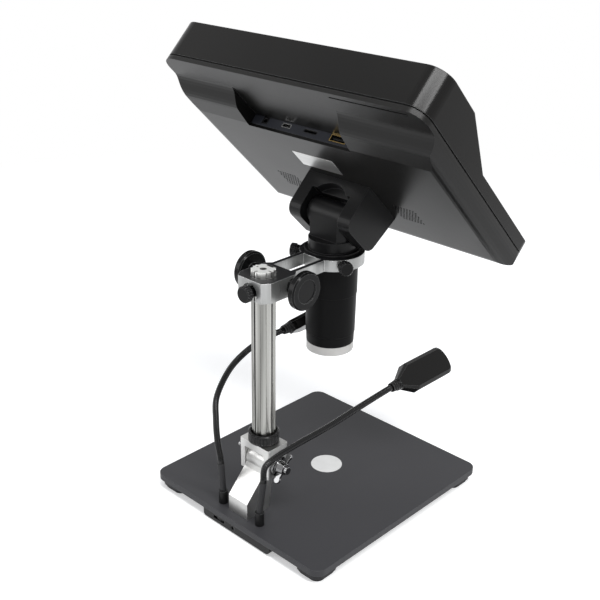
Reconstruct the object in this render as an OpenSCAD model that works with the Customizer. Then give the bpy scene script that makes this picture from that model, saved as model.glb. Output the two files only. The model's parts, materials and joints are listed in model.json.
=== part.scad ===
// Digital inspection microscope: rack-and-pinion stand, camera barrel and a hooded tilting monitor.
// X runs across, the user sits at -Y, +Z is up; the origin is the stage face on the optical axis.

/* [Base] */
// Width of the base plate
base_w = 188; // [170:2:210]
// Depth of the base plate
base_d = 200; // [185:2:220]
// Thickness of the base plate
base_t = 5.2; // [4.6:0.2:7]
// Corner radius of the base plate
base_r = 9; // [5:1:14]
// Distance of the plate's centre behind the optical axis
base_shift = 11; // [6:1:14]
// Height of the corner feet
foot_h = 8.3; // [8.3:0.1:12]
// Length of each side of a corner foot
foot_len = 25; // [18:1:30]
// Radius of the white stage window
window_r = 13.25; // [10:0.25:16]
// Width of the control box under the rear edge
box_w = 76; // [66:2:84]
// Sideways offset of the control box
box_x = -5; // [-8:1:0]
// Height of the control box
box_h = 7.2; // [6.8:0.1:8]
// Radius of the dimmer wheel
dimmer_r = 8; // [7:0.5:9]

/* [Tilting foot] */
// Distance of the column axis behind the optical axis
col_y = 74.5; // [70:0.5:78]
// Height of the tilt bolt above the stage face
pivot_z = 40; // [36:0.5:42]
// Radius of the foot arm's knuckle
knuckle_r = 9.6; // [8.5:0.1:10]
// Width of the foot arm
arm_foot_w = 21; // [17:0.5:23]
// Radius of the tilt bolt
bolt_r = 3; // [2.5:0.25:3.5]
// Half width of the yoke
yoke_hw = 16; // [14.5:0.5:18]
// Half depth of the yoke
yoke_hd = 10.6; // [10.2:0.1:12.5]
// Thickness of the yoke's cap over the slot
yoke_cap = 6.4; // [5:0.2:8]

/* [Column] */
// Radius over the column's lobes
col_r = 9.2; // [8.6:0.1:9.6]
// Height of the column above the yoke
col_len = 145; // [140:1:155]
// Radius of the collar nut
nut_r = 12.3; // [11.6:0.1:13]
// Height of the collar nut
nut_h = 8.8; // [6:0.2:10]
// Half width of the rack
rack_hw = 3.4; // [2.8:0.1:3.6]
// Gear module of the rack and pinion
gear_m = 0.5; // [0.5:0.05:0.6]
// Number of teeth on the rack
rack_teeth = 38; // [30:1:39]

/* [Focus carriage] */
// Height of the arm's top face above the stage face
arm_top = 197.7; // [196:0.1:199]
// Height of the arm and the ring
arm_h = 9.2; // [8:0.2:10]
// Height of the carriage block
block_h = 15.8; // [15.4:0.2:18]
// Half width of the carriage block
block_hw = 16.4; // [15.5:0.1:17.5]
// Distance of the block's rear face behind the column axis
block_rear = 14; // [13:0.5:16]
// Half width of the arm
arm_hw = 12.4; // [11.6:0.2:14]
// Half width of the window through the arm
arm_win_hw = 8.8; // [7:0.2:9]
// Outer radius of the ring
ring_r = 25.5; // [24.5:0.5:28]
// Radius of the focus knobs
knob_r = 14.8; // [12:0.2:16]
// Thickness of a focus knob
knob_t = 6.4; // [5:0.2:8]
// Distance of a focus knob's inner face from the middle
knob_x = 25.2; // [24:0.2:28]
// Radius of the locking knob's head
lock_r = 6.4; // [5.5:0.1:7]
// Radius of the ring screws' heads
thumb_r = 5.6; // [4.6:0.2:6]
// Angle of the ring screws from the X axis
thumb_angle = 28; // [22:1:34]

/* [Barrel] */
// Radius of the barrel sleeve
barrel_r = 20.6; // [19.8:0.1:21]
// Height of the sleeve's lower end above the stage face
sleeve_z = 162.8; // [150:0.2:170]
// Height of the light ring's lower end above the stage face
light_z = 113.4; // [105:0.2:120]
// Height of the light ring
light_h = 7; // [5:0.5:9]
// Radius of the light ring
light_r = 19.1; // [18:0.1:19.4]
// Radius of the collar above the ring
collar_r = 19; // [18:0.1:19.1]
// Height of the monitor's tilt axis above the stage face
axis_z = 226; // [224:0.5:229]
// Radius of the neck's knuckle
neck_r = 11; // [9.5:0.1:11.2]

/* [Monitor] */
// Angle of the screen from the horizontal
screen_angle = 45; // [40:1:50]
// Width of the monitor
mon_w = 250; // [240:1:258]
// Distance of the monitor's lower edge from the tilt axis
mon_low = 65; // [60:1:70]
// Distance of the monitor's upper edge from the tilt axis
mon_high = 123; // [120:1:132]
// Distance of the lower back face from the tilt axis
back_w = 23; // [22:0.5:26]
// Step between the lower and the upper back face
back_step = 10.4; // [8:0.2:10.6]
// Distance of the bezel face from the tilt axis
bezel_w = 47.4; // [46.4:0.2:50]
// Depth of the hood in front of the bezel
hood_depth = 20.6; // [16:0.2:26]
// Wall thickness of the housings
wall = 2.4; // [2:0.1:2.6]
// Corner radius of the monitor's upper corners
mon_r = 15; // [10:1:18]
// Corner radius of the monitor's lower corners
mon_low_r = 9; // [7:0.5:13]
// Width of the bezel on each side of the screen
bezel_side = 13.6; // [12:0.2:16]
// Height of the visible screen
screen_h = 125.4; // [118:0.2:128]
// Distance of the screen's middle from the tilt axis
screen_v = 36; // [34:1:40]
// Half width of the bracket
ear_hw = 31; // [29:0.5:34]
// Thickness of a bracket ear
ear_t = 11.7; // [9:0.1:11.8]
// Number of bezel buttons
button_n = 5; // [3:1:5]
// Width and height of a speaker grille
grille_size = 24; // [16:1:26]

/* [Lamps] */
// Outer radius of the flexible necks
flex_r = 2.6; // [2.2:0.1:2.8]
// Width of a lamp head
lamp_w = 25; // [20:1:28]
// Length of a lamp head
lamp_len = 74; // [64:1:80]
// Thickness of a lamp head
lamp_t = 10; // [8:0.5:12]
// Spacing of the ribs on the flexible necks
rib_pitch = 2; // [2:0.1:2.6]

/* [Hidden] */
$fn = 64;
fit = 0.06;       // running clearance on a radius
gap = 0.3;        // clearance between moving faces
base_rear = base_shift + base_d/2;
floor_z = -base_t - foot_h;
yoke_z0 = pivot_z - 9;
slot_top = pivot_z + knuckle_r + 1.3;
yoke_top = slot_top + yoke_cap;
slot_hw = arm_foot_w/2 + gap;
arm_z0 = arm_top - arm_h;
block_z0 = arm_top - block_h;
arm_zm = arm_top - arm_h/2;
pitch = PI*gear_m;
pinion_teeth = 16;
pinion_pr = pinion_teeth*gear_m/2;
rack_pitch_y = col_y - col_r - 0.4;
rack_seat_y = col_y - col_r + 3;
pinion_y = rack_pitch_y - pinion_pr;
pinion_z = arm_top - 8.2;
shaft_r = 2.5;
lock_z = arm_top - 10.2;
lock_y = col_y + block_rear;
arch_r = 7.5;
screw_r = 2;
parting_w = 38;
screen_w = mon_w - 2*bezel_side;
hood_v0 = mon_high - 90;
hood_v1 = mon_high - 47;
edge_r = 12;
board_w = mon_w - 90;
board_v = [-30, 62];
board_z = 34.6;
bracket_v = [-30, 15.8];
bracket_rear = -13.4;
bracket_r = 9;
bracket_toe = 4.9;
bracket_shelf = 11.5;
slot_r = ear_hw - ear_t;
band_h = 8;
tilt_pin_r = 3;
col_z0 = yoke_top;
col_z1 = yoke_top + col_len;
window_y0 = 23;
window_y1 = 54.8;
shelf_v = 67;
scoop_x0 = -43;
scoop_x1 = 60;
port_w = 30.4;
strip_w0 = back_w + wall;
strip_w1 = back_w + back_step - 0.02;
strip_gap = 0.02;
box_d = 40;
box_skin = 0.4;
dimmer_x = 14.5;
dimmer_y = base_rear - dimmer_r - 0.2;
dimmer_z = -base_t - 3;
jack_x = -1.5;
jack_z = -base_t - 3;
jack_r = 2.3;
button_v = -46;
button_r = 3;
grille_hole = 0.75;
grille_pitch = 2.7;
speaker_x = [69.5, -52];
speaker_v = -14;
lip = 0.9;
collar_y = base_rear - 11.5;
collar_x = 21;
collar_h = 11.5;
sleeve_r = 2.45;

// ---------- helpers ----------

// Rectangle with round corners, centred
module round_rect(w, h, r) {
    square([w - 2*r, h], center = true);
    square([w, h - 2*r], center = true);
    for (x = [-1, 1], y = [-1, 1])
        translate([x*(w/2 - r), y*(h/2 - r)]) circle(r);
}

// Plate of a rounded rectangle standing on z = 0
module round_plate(w, h, t, r) {
    linear_extrude(t) round_rect(w, h, r);
}

// Tube standing on z = 0
module tube(r_out, r_in, h) {
    difference() {
        cylinder(r = r_out, h = h);
        translate([0, 0, -1]) cylinder(r = r_in, h = h + 2);
    }
}

// Disc with both rims bevelled, standing on z = 0
module bevel_disc(r, h, c) {
    rotate_extrude()
        polygon([[0, 0], [r - c, 0], [r, c], [r, h - c], [r - c, h], [0, h]]);
}

// Knob head with a fluted rim, standing on z = 0
module fluted_head(r, h, flutes, depth) {
    difference() {
        bevel_disc(r, h, 0.8);
        for (i = [0:flutes - 1])
            rotate(i*360/flutes) translate([r + depth*0.6, 0, -1])
                cylinder(r = depth*1.4, h = h + 2, $fn = 24);
    }
}

// Points of an arc, from angle a to angle b, as n steps
function arc_points(c, r, a, b, n) = [for (i = [0:n]) c + r*[cos(a + (b - a)*i/n), sin(a + (b - a)*i/n)]];

// Turn a shape that stands along Z so that it points along X or Y
module along_x() { rotate([0, 90, 0]) children(); }
module along_y() { rotate([-90, 0, 0]) children(); }

// Extrude a [y, z] outline across X, centred
module across_x(width) {
    rotate([90, 0, 90]) linear_extrude(width, center = true) children();
}

// Monitor axes: x across, y up along the screen, z towards the user
module monitor_frame() {
    translate([0, 0, axis_z]) rotate([screen_angle, 0, 0]) children();
}

// ---------- base ----------

module base_plate() {
    color([0.17, 0.17, 0.18]) difference() {
        translate([0, base_shift, -base_t]) round_plate(base_w, base_d, base_t, base_r);
        translate([0, 0, -base_t - 1]) cylinder(r = window_r - 1.5, h = base_t + 2);
        translate([0, 0, -2]) cylinder(r = window_r + fit, h = 3);
        for (x = [-6, 6]) translate([x, col_y + 14, -base_t - 1]) cylinder(r = 2.2, h = base_t + 2);
        for (s = [-1, 1]) translate([s*collar_x, collar_y, -base_t - 1]) cylinder(r = 2.6, h = base_t + 2);
    }
}

// One foot: a block that follows the plate's corner and narrows downwards
module corner_foot() {
    inset = 3;
    translate([base_w/2 - inset - foot_len/2, base_d/2 - inset - foot_len/2, 0]) difference() {
        union() {
            translate([0, 0, -base_t - foot_h]) round_plate(foot_len - 3, foot_len - 3, foot_h, 6);
            translate([0, 0, -base_t - foot_h + 2.6]) round_plate(foot_len, foot_len, foot_h - 2.6, 7);
        }
        translate([0, 0, floor_z - 1]) cylinder(r = 3.4, h = 3);
    }
}

module base_feet() {
    color([0.06, 0.06, 0.06]) translate([0, base_shift, 0])
        for (mx = [0, 1], my = [0, 1]) mirror([mx, 0, 0]) mirror([0, my, 0]) corner_foot();
}

// Outline of the control box seen from behind, with both lower corners rounded
module box_outline(inset, top) {
    hw = box_w/2 - inset;
    low = -box_h + inset;
    polygon(concat([[-hw, top]], arc_points([-hw + 4.6, low + 4.6], 4.6, 180, 270, 6),
        arc_points([hw - 2.6, low + 2.6], 2.6, 270, 360, 6), [[hw, top]]));
}

// Tray under the plate's rear edge, open at the top where the plate closes it
module control_box() {
    depth = box_d - box_skin;
    color([0.12, 0.12, 0.13]) difference() {
        translate([box_x, base_rear - box_skin, -base_t]) rotate([90, 0, 0])
            linear_extrude(depth) box_outline(0, 0);
        translate([box_x, base_rear - wall, -base_t]) rotate([90, 0, 0])
            linear_extrude(box_d - 2*wall) box_outline(1.6, 1);
        // slot with round ends for the dimmer wheel, and the jack's hole
        translate([dimmer_x, base_rear - 6, dimmer_z]) along_y() linear_extrude(7)
            round_rect(2*dimmer_r - 3, 3, 1.45);
        translate([jack_x, base_rear - 6, jack_z]) along_y() cylinder(r = jack_r + fit, h = 7);
        // seat of the wheel's axle in the tray's floor
        translate([dimmer_x, dimmer_y, -base_t - box_h + 0.8]) cylinder(r = 1 + fit, h = 2);
    }
}

// Wheel on an upright axle inside the control box, its rim just inside the slot
module dimmer_wheel() {
    color([0.08, 0.08, 0.08]) translate([dimmer_x, dimmer_y, 0]) {
        translate([0, 0, dimmer_z - 1]) difference() {
            cylinder(r = dimmer_r - 0.6, h = 2);
            for (i = [0:29])
                rotate(i*12) translate([dimmer_r - 0.5, 0, -1]) cylinder(r = 0.4, h = 4, $fn = 16);
        }
        translate([0, 0, -base_t - box_h + 1]) cylinder(r = 1, h = box_h - 1.3);
    }
}

// Barrel jack: a round socket with its centre pin
module power_jack() {
    translate([jack_x, base_rear - box_skin - 0.1, jack_z]) rotate([90, 0, 0]) {
        color([0.05, 0.05, 0.05]) difference() {
            cylinder(r = jack_r, h = 9.5);
            translate([0, 0, -1]) cylinder(r = 1.5, h = 8);
        }
        color("silver") translate([0, 0, 0.8]) cylinder(r = 0.5, h = 6.3);
    }
}

module stage_window() {
    color("white") translate([0, 0, -2]) cylinder(r = window_r, h = 2);
}

module stage_light_board() {
    color("darkgreen") translate([0, 0, -4.4]) cylinder(r = window_r - 2, h = 1.2);
    color("gold") for (a = [0:60:300]) rotate(a) translate([7, 0, -3.2]) cylinder(r = 1.2, h = 0.9);
}

// ---------- tilting foot ----------

// Side outline of the foot arm: upright heel, slanted back and the knuckle's neck
function arm_outline() = [[col_y + 5, 0], [col_y + 28.5, 0], [col_y + 28.5, 14.3], [col_y + 11, pivot_z - 6.5],
    [col_y + 8.4, pivot_z - 1], [col_y + 2, pivot_z], [col_y - 6, pivot_z - 6.8], [col_y + 1, pivot_z - 15]];

module foot_arm() {
    color([0.82, 0.82, 0.83]) difference() {
        union() {
            across_x(arm_foot_w) polygon(arm_outline());
            translate([-arm_foot_w/2, col_y, pivot_z]) along_x() cylinder(r = knuckle_r, h = arm_foot_w);
        }
        translate([-arm_foot_w/2 - 1, col_y, pivot_z]) along_x()
            cylinder(r = bolt_r + fit, h = arm_foot_w + 2);
        for (x = [-6, 6]) translate([x, col_y + 14, -1]) cylinder(r = 1.8, h = 9);
    }
}

module foot_screws() {
    color([0.3, 0.3, 0.32]) for (x = [-6, 6]) translate([x, col_y + 14, 0]) {
        translate([0, 0, -base_t - 0.1]) cylinder(r = 1.75, h = base_t + 7);
        translate([0, 0, -base_t - 1.6]) cylinder(r = 3.2, h = 1.6);
    }
}

module yoke() {
    color([0.8, 0.8, 0.81]) difference() {
        translate([0, col_y, yoke_z0]) round_plate(2*yoke_hw, 2*yoke_hd, yoke_top - yoke_z0, 1.2);
        translate([-slot_hw, col_y - yoke_hd - 1, yoke_z0 - 1])
            cube([2*slot_hw, 2*yoke_hd + 2, slot_top - yoke_z0 + 1]);
        translate([-yoke_hw - 1, col_y, pivot_z]) along_x() cylinder(r = bolt_r + 0.02, h = 2*yoke_hw + 2);
        translate([0, col_y, slot_top - 1]) cylinder(r = 3.2, h = yoke_cap + 2);
    }
}

// Bolt with a winged head on the right-hand side
module pivot_bolt() {
    color([0.85, 0.85, 0.87]) translate([0, col_y, pivot_z]) {
        translate([-yoke_hw - 11, 0, 0]) along_x() cylinder(r = bolt_r, h = 2*yoke_hw + 12);
        translate([yoke_hw, 0, 0]) along_x() cylinder(r = 6, h = 1.8);
        translate([yoke_hw + 1.8, 0, 0]) along_x() cylinder(r = 4.4, h = 4);
        for (a = [50, 230]) rotate([a, 0, 0]) translate([yoke_hw + 2.2, 3, -1]) wing();
    }
}

// One wing of the nut or the bolt, rising from the hub
module wing() {
    rotate([90, 0, 90]) linear_extrude(2.2) union() {
        polygon([[0, -1], [6.5, -0.8], [6.5, 2.8], [0, 3]]);
        translate([6.6, 1]) circle(r = 2.4);
    }
}

module wing_nut() {
    color([0.85, 0.85, 0.87]) translate([-yoke_hw - gap, col_y, pivot_z]) rotate([0, -90, 0]) difference() {
        union() {
            cylinder(r = 8.5, h = 1.8);
            translate([0, 0, 1.8]) cylinder(r1 = 5.6, r2 = 4.4, h = 6);
            for (a = [-40, 140]) rotate([0, 0, a]) translate([3.4, 1.1, 3.4]) rotate([90, 0, 0])
                linear_extrude(2.2) union() {
                    polygon([[0, -1.2], [6.4, 0.2], [6.4, 3.4], [0, 3.6]]);
                    translate([6.6, 2]) circle(r = 2.4);
                }
        }
        translate([0, 0, -1]) cylinder(r = bolt_r + fit, h = 20);
    }
}

// ---------- column ----------

// Lobed extrusion with two narrow slots, a screw bore and a seat for the rack
module column_outline() {
    difference() {
        circle(col_r);
        for (i = [0:7]) rotate(22.5 + i*45) translate([col_r + 1.1, 0]) circle(r = 2.1, $fn = 32);
        for (a = [0, 90, 180]) rotate(a) translate([col_r - 4, -0.7]) square([5, 1.4]);
        circle(r = 2.6);
        translate([-rack_hw - fit, -col_r - 1]) square([2*rack_hw + 2*fit, rack_seat_y + 1 - col_y + col_r]);
    }
}

module column() {
    color([0.75, 0.75, 0.74]) translate([0, col_y, col_z0]) linear_extrude(col_len) column_outline();
}

module column_screw() {
    color([0.3, 0.3, 0.32]) translate([0, col_y, 0]) {
        translate([0, 0, slot_top - 0.1]) cylinder(r = 2.5, h = yoke_cap + 14);
        translate([0, 0, slot_top - 0.9]) cylinder(r = 4.2, h = 0.9);
    }
}

// Trapezoid teeth of the rack as [depth, height] points, from the top tooth down
function rack_profile() = let (tip = gear_m*0.9, root = gear_m*1.25, w = pitch/4 - 0.02, s = tan(20))
    [for (i = [0:rack_teeth - 1])
        for (p = [[root, w + root*s], [-tip, w - tip*s], [-tip, -w + tip*s], [root, -w - root*s]])
            p - [0, i*pitch]];

// Toothed strip let into the column's front
module rack() {
    z0 = pinion_z + pitch/2 + pitch*floor((col_z1 - pinion_z - pitch)/pitch);
    back = rack_seat_y - 0.05 - rack_pitch_y;
    color([0.6, 0.6, 0.58]) translate([0, rack_pitch_y, z0]) across_x(2*rack_hw)
        polygon(concat([[back, pitch/2]], [[gear_m*1.25, pitch/2]], rack_profile(),
            [[gear_m*1.25, -rack_teeth*pitch], [back, -rack_teeth*pitch]]));
}

module collar_nut() {
    color([0.08, 0.08, 0.08]) translate([0, col_y, yoke_top]) difference() {
        bevel_disc(nut_r, nut_h, 0.8);
        translate([0, 0, -1]) cylinder(r = col_r + 1.2, h = nut_h + 2);
        for (i = [0:35])
            rotate(i*10) translate([nut_r + 0.25, 0, 1.6]) cylinder(r = 0.6, h = nut_h - 3.2, $fn = 16);
    }
}

// ---------- focus carriage ----------

// Plan of the block, the arm and the ring
module arm_plan() {
    block_plan();
    polygon([[arm_hw, pinion_y - 8], [arm_hw, 21.7], [ring_r*0.72, 17.6],
        [-ring_r*0.72, 17.6], [-arm_hw, 21.7], [-arm_hw, pinion_y - 8]]);
    circle(r = ring_r);
}

module block_plan() {
    rear = lock_y;
    polygon([[-block_hw, rear - 5.8], [-block_hw + 4.4, rear], [block_hw - 4.4, rear], [block_hw, rear - 5.8],
        [block_hw, pinion_y - 3.4], [arm_hw, pinion_y - 8], [-arm_hw, pinion_y - 8],
        [-block_hw, pinion_y - 3.4]]);
}

module focus_arm() {
    color([0.78, 0.78, 0.78]) difference() {
        union() {
            translate([0, 0, arm_z0]) linear_extrude(arm_h) arm_plan();
            translate([0, 0, block_z0]) linear_extrude(block_h) block_plan();
        }
        // bores for the barrel and the column, with room for the rack
        translate([0, 0, arm_z0 - 1]) cylinder(r = barrel_r + fit, h = arm_h + 2);
        translate([0, col_y, block_z0 - 1]) cylinder(r = col_r + fit, h = block_h + 2);
        translate([-rack_hw - 0.4, rack_pitch_y - gear_m*2, block_z0 - 1])
            cube([2*rack_hw + 0.8, 6, block_h + 2]);
        // window through the arm
        translate([-arm_win_hw, window_y0, arm_z0 - 1])
            cube([2*arm_win_hw, window_y1 - window_y0, arm_h + 2]);
        // focus shaft bore and pinion pocket, open to the column
        translate([-block_hw - 1, pinion_y, pinion_z]) along_x()
            cylinder(r = shaft_r + fit, h = 2*block_hw + 2);
        translate([-4.2, pinion_y, pinion_z]) along_x() cylinder(r = pinion_pr + 1, h = 8.4);
        translate([-4.2, pinion_y, block_z0 - 1]) cube([8.4, 6, pinion_z - block_z0 + 1]);
        // arch in the rear face and the locking screw's hole
        translate([0, lock_y - 5, lock_z]) along_y() cylinder(r = arch_r, h = 6);
        translate([0, col_y, lock_z]) along_y() cylinder(r = screw_r + fit, h = block_rear);
        for (s = [-1, 1]) ring_screw_place(s) translate([0, 0, -8]) cylinder(r = screw_r + fit, h = 20);
    }
}

module focus_shaft() {
    color([0.7, 0.7, 0.72]) translate([-knob_x - 4, pinion_y, pinion_z])
        along_x() cylinder(r = shaft_r, h = 2*knob_x + 8);
}

// Involute tooth flank points of the pinion
function involute(rb, r) = let (t = sqrt(max(0, pow(r/rb, 2) - 1))*180/PI) [r, t - atan(t*PI/180)];
function pinion_points() = let (rb = pinion_pr*cos(20), ra = pinion_pr + gear_m*0.9,
    rr = pinion_pr - gear_m*1.2, half = 90/pinion_teeth - 0.35, at_pitch = involute(rb, pinion_pr)[1],
    flank = [for (r = [max(rb, rr), (rb + pinion_pr)/2, pinion_pr, (pinion_pr + ra)/2, ra]) involute(rb, r)])
    [for (i = [0:pinion_teeth - 1]) let (a = i*360/pinion_teeth) each concat(
        [polar(rr, a - half - at_pitch - 1)],
        [for (p = flank) polar(p[0], a - half - at_pitch + p[1])],
        [for (k = [len(flank) - 1:-1:0]) polar(flank[k][0], a + half + at_pitch - flank[k][1])],
        [polar(rr, a + half + at_pitch + 1)])];
function polar(r, a) = [r*cos(a), r*sin(a)];

module focus_pinion() {
    color([0.75, 0.65, 0.35]) translate([0, pinion_y, pinion_z]) rotate([90, 0, 90]) difference() {
        linear_extrude(7.4, center = true) polygon(pinion_points());
        cylinder(r = shaft_r + 0.02, h = 10, center = true);
    }
}

// Knob pointing outwards along +X
module focus_knob() {
    color([0.07, 0.07, 0.08]) translate([0, pinion_y, pinion_z]) along_x() difference() {
        union() {
            translate([0, 0, block_hw + gap]) cylinder(r = 6.2, h = knob_x - block_hw);
            translate([0, 0, knob_x]) bevel_disc(knob_r, knob_t, 1.2);
        }
        translate([0, 0, knob_x + knob_t - 0.9]) cylinder(r = knob_r*0.62, h = 2);
        translate([0, 0, 0]) cylinder(r = shaft_r + 0.02, h = knob_x + 4.05);
    }
}

module focus_knob_left() { focus_knob(); }
module focus_knob_right() { mirror([1, 0, 0]) focus_knob(); }

module lock_knob() {
    color([0.08, 0.08, 0.08]) translate([0, 0, lock_z]) along_y() {
        translate([0, 0, col_y + col_r + 0.4]) cylinder(r = screw_r, h = block_rear - col_r + 2);
        translate([0, 0, lock_y - 4.6]) cylinder(r = 4.4, h = 6.4);
        translate([0, 0, lock_y + 1.6]) fluted_head(lock_r, 5.2, 18, 0.5);
    }
}

// Place of a ring screw: its axis points outwards from the ring, s = 1 is the +X side
module ring_screw_place(s) {
    rotate(s > 0 ? thumb_angle : 180 - thumb_angle) translate([ring_r, 0, arm_zm]) along_x() children();
}

module ring_screw(s) {
    color([0.08, 0.08, 0.08]) ring_screw_place(s) {
        translate([0, 0, barrel_r + 0.3 - ring_r]) cylinder(r = screw_r, h = 6);
        translate([0, 0, gap]) cylinder(r = thumb_r - 1, h = 3.2);
        translate([0, 0, 3]) fluted_head(thumb_r, 5, 16, 0.5);
    }
}

module ring_screw_left() { ring_screw(1); }
module ring_screw_right() { ring_screw(-1); }

// ---------- barrel ----------

module barrel_sleeve() {
    color([0.07, 0.07, 0.07]) difference() {
        translate([0, 0, sleeve_z]) cylinder(r = barrel_r, h = arm_top - sleeve_z);
        translate([0, 0, sleeve_z - 1]) cylinder(r = barrel_r - wall, h = arm_top - sleeve_z + 2);
    }
}

// Tapered shroud from the sleeve down to the light ring, with a spigot inside the sleeve
module barrel_lower() {
    z0 = light_z + light_h;
    groove = z0 + band_h;
    joint = sleeve_z - 0.05;
    spigot = barrel_r - wall - 0.05;
    color([0.06, 0.06, 0.06]) rotate_extrude() polygon([[light_r - wall, z0], [light_r + 0.1, z0],
        [light_r + 0.35, groove], [light_r, groove], [light_r, groove + 0.5], [light_r + 0.7, groove + 0.5],
        [barrel_r - 0.4, joint], [spigot, joint], [spigot, joint + 5], [barrel_r - 2*wall, joint + 5],
        [barrel_r - 2*wall, joint - 3]]);
}

module light_ring() {
    color([0.85, 0.86, 0.87]) translate([0, 0, light_z]) difference() {
        cylinder(r = light_r, h = light_h);
        translate([0, 0, -1]) cylinder(r = light_r - 5, h = light_h + 2);
        translate([0, 0, 2]) cylinder(r = light_r - 1.6, h = light_h);
    }
}

module light_board() {
    color("darkgreen") translate([0, 0, light_z + light_h - 2]) tube(light_r - 1.8, 10, 1.4);
    color("gold") for (a = [0:45:315]) rotate(a)
        translate([light_r - 3.6, 0, light_z + light_h - 2.8]) cylinder(r = 1.1, h = 0.9);
}

module lens_cell() {
    z0 = light_z + light_h - 0.5;
    seat = barrel_r - 2*wall - 0.1;
    color([0.1, 0.1, 0.1]) rotate_extrude() polygon([[7.4, z0], [13, z0], [13, z0 + 14], [seat, z0 + 16],
        [seat, z0 + 19], [12, z0 + 21], [12, z0 + 40], [7.4, z0 + 40]]);
}

module lens_glass() {
    z0 = light_z + light_h + 1.5;
    color([0.6, 0.75, 0.8, 0.5]) intersection() {
        translate([0, 0, z0]) cylinder(r = 7.35, h = 6);
        translate([0, 0, z0 + 17]) sphere(r = 17);
    }
}

module sensor_board() {
    z0 = light_z + light_h + 40.2;
    color("darkgreen") translate([-12, -9, z0]) cube([24, 18, 1.6]);
    color([0.1, 0.1, 0.1]) translate([-4, -4, z0 - 1.4]) cube([8, 8, 1.4]);
}

// Flange, collar and knuckle that carry the monitor
module scope_neck() {
    half = slot_r - 2;
    top = axis_z;
    color([0.07, 0.07, 0.07]) difference() {
        union() {
            translate([0, 0, arm_top + 0.1]) cylinder(r = barrel_r + 1.4, h = 2.2);
            translate([0, 0, arm_top + 2.2]) cylinder(r = collar_r, h = 8.6);
            intersection() {
                translate([0, 0, arm_top + 2]) cylinder(r = half + 0.6, h = top - arm_top);
                translate([-half, -neck_r, arm_top]) cube([2*half, 2*neck_r, top - arm_top]);
            }
            translate([-half, 0, top]) along_x() cylinder(r = neck_r, h = 2*half);
            translate([0, 0, arm_top - 6]) cylinder(r = barrel_r - wall - 0.05, h = 7);
        }
        translate([-half - 1, 0, top]) along_x() cylinder(r = tilt_pin_r + fit, h = 2*half + 2);
        translate([0, 0, arm_top - 7]) cylinder(r = 9, h = 14);
    }
}

// ---------- monitor ----------

module tilt_pin() {
    color([0.7, 0.7, 0.72]) translate([-ear_hw + 4, 0, axis_z]) along_x()
        cylinder(r = tilt_pin_r, h = 2*ear_hw - 8);
}

// Side outline of the bracket in monitor axes, with its rear corners rounded
module bracket_outline() {
    centre = bracket_rear + bracket_r;
    polygon(concat([[bracket_v[0], back_w - 0.02], [bracket_v[1], back_w - 0.02]],
        arc_points([bracket_v[1] - bracket_r, centre], bracket_r, 0, -90, 8),
        arc_points([bracket_v[0] + bracket_r + bracket_toe, centre], bracket_r, -90, -160, 8)));
}

module bracket() {
    arch_v = slot_r - 18.3;
    color([0.08, 0.08, 0.08]) monitor_frame() difference() {
        across_x(2*ear_hw) bracket_outline();
        // slot between the ears with a round end, and the shelf across that end
        translate([-slot_r, bracket_v[0] - 10, -20]) cube([2*slot_r, 80, 20 + bracket_shelf]);
        translate([0, 8, -arch_v]) rotate([-90, 0, 0]) cylinder(r = slot_r, h = 20);
        translate([-ear_hw + 3.9, 0, 0]) along_x() cylinder(r = tilt_pin_r + 0.02, h = 2*ear_hw - 7.8);
    }
}

// Side outline of the monitor's back: lower face, S-shaped step and upper face
function back_outline(i) = let (r = edge_r + 1, low = -mon_low + i, high = mon_high - i, w0 = back_w + i,
    rise = back_step - 1.6)
    concat([[low, parting_w]], arc_points([low + r - i, w0 + r - i], r - i, 180, 270, 8), [[shelf_v + 3, w0]],
        [for (k = [0:8]) let (t = k/8) [shelf_v + 17 + 18*t, w0 + 1.6 + rise*t*t*(3 - 2*t)]],
        [[high, w0 + back_step], [high, parting_w]]);

// Plan of the monitor, seen from the front: two rounded rectangles that share the sides
module monitor_plan(i) {
    width = mon_w - 2*i;
    translate([0, (mon_high - i - mon_r)/2]) round_rect(width, mon_high - i + mon_r, mon_r - i);
    translate([0, (mon_r - mon_low + i)/2]) round_rect(width, mon_low - i + mon_r, mon_low_r - i);
}

// Cross-section of the back along the screen, with rounded long edges
module back_section(i) {
    r = edge_r;
    hw = mon_w/2 - i;
    top = parting_w + 1;
    polygon(concat([[-hw, top]], arc_points([-hw + r - i, back_w + r], r - i, 180, 270, 8),
        arc_points([hw - r + i, back_w + r], r - i, 270, 360, 8), [[hw, top]]));
}

module back_solid(i) {
    intersection() {
        across_x(mon_w) polygon(back_outline(i));
        linear_extrude(parting_w) monitor_plan(i);
        translate([0, mon_high + 10, 0]) rotate([90, 0, 0])
            linear_extrude(mon_high + mon_low + 20) back_section(i);
    }
}

module scoop(grow) {
    translate([scoop_x0 - grow, shelf_v - grow, 0])
        cube([scoop_x1 - scoop_x0 + 2*grow, 60, back_w + back_step - 0.02 + grow]);
}

module back_cover() {
    color([0.09, 0.09, 0.09]) monitor_frame() difference() {
        back_solid(0);
        difference() {
            back_solid(wall);
            scoop(wall);
        }
        translate([0, 0, parting_w - 0.05]) linear_extrude(2) monitor_plan(-2);
        scoop(0);
        // groove round the parting line, and the slit beside the scoop
        translate([0, 0, parting_w - 1.4]) linear_extrude(2) difference() {
            monitor_plan(-2);
            monitor_plan(lip);
        }
        translate([scoop_x0 - 70, mon_high - 5.6, back_w + back_step - 1]) cube([66, 1.4, 2]);
        for (x = speaker_x) translate([x, speaker_v, back_w - 1]) linear_extrude(wall + 2) grille_holes();
        // seat of the port strip in the shelf of the scoop
        translate([scoop_x0, shelf_v - wall - 1, strip_w0])
            cube([scoop_x1 - scoop_x0, wall + 2, strip_w1 - strip_w0]);
        port_holes();
    }
}

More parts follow.
